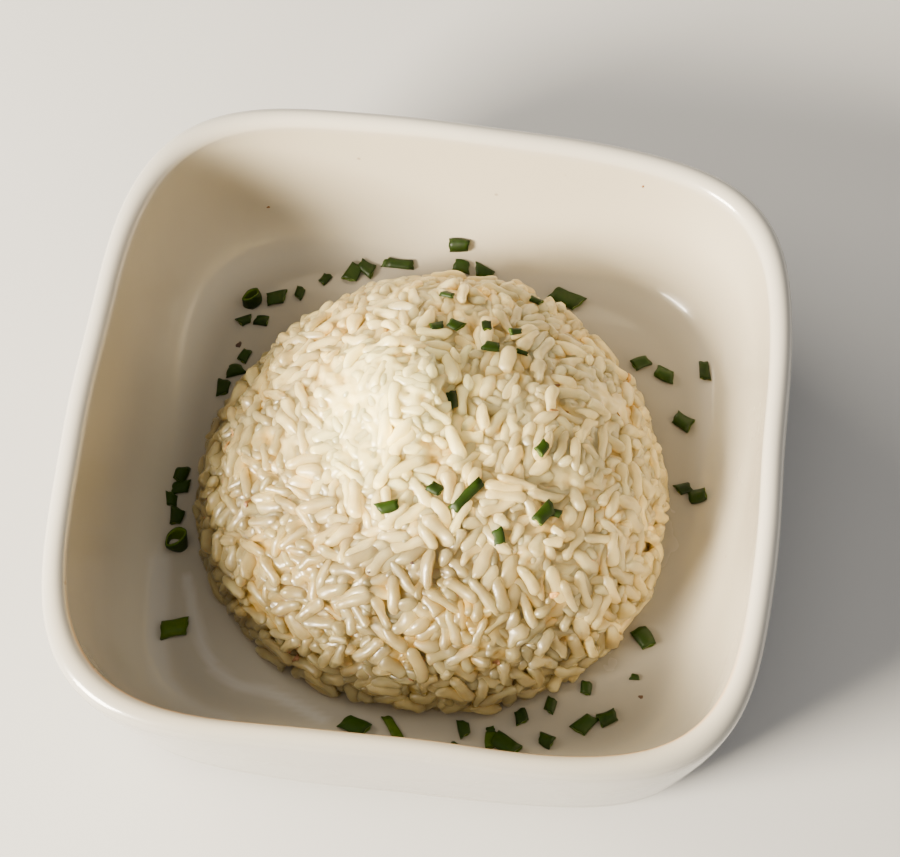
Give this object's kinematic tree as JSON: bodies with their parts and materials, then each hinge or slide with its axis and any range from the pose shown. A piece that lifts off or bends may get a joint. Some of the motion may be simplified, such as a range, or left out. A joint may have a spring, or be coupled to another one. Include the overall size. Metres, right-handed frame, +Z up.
{
  "type": "bowl of white rice",
  "caption": "Square rounded ceramic dish holding a moulded dome of cooked white rice, with chopped chives scattered on the rice and on the dish.",
  "frame": {"origin": "on the table, under the middle of the dish's rim outline", "axes": "+Z up, +X to the right and +Y to the back along the dish's sides, as the picture shows it"},
  "size_m": [0.1576, 0.1554, 0.0488],
  "materials": {
    "glaze": "warm ivory gloss glaze with a few fine specks",
    "cooked_rice": "moist, slightly translucent cooked white rice grains",
    "chive": "fresh chopped chives, satin green with darker inside"
  },
  "bodies": {
    "root": {"dish": "glaze", "rice": "cooked_rice"}
  },
  "joints": []
}
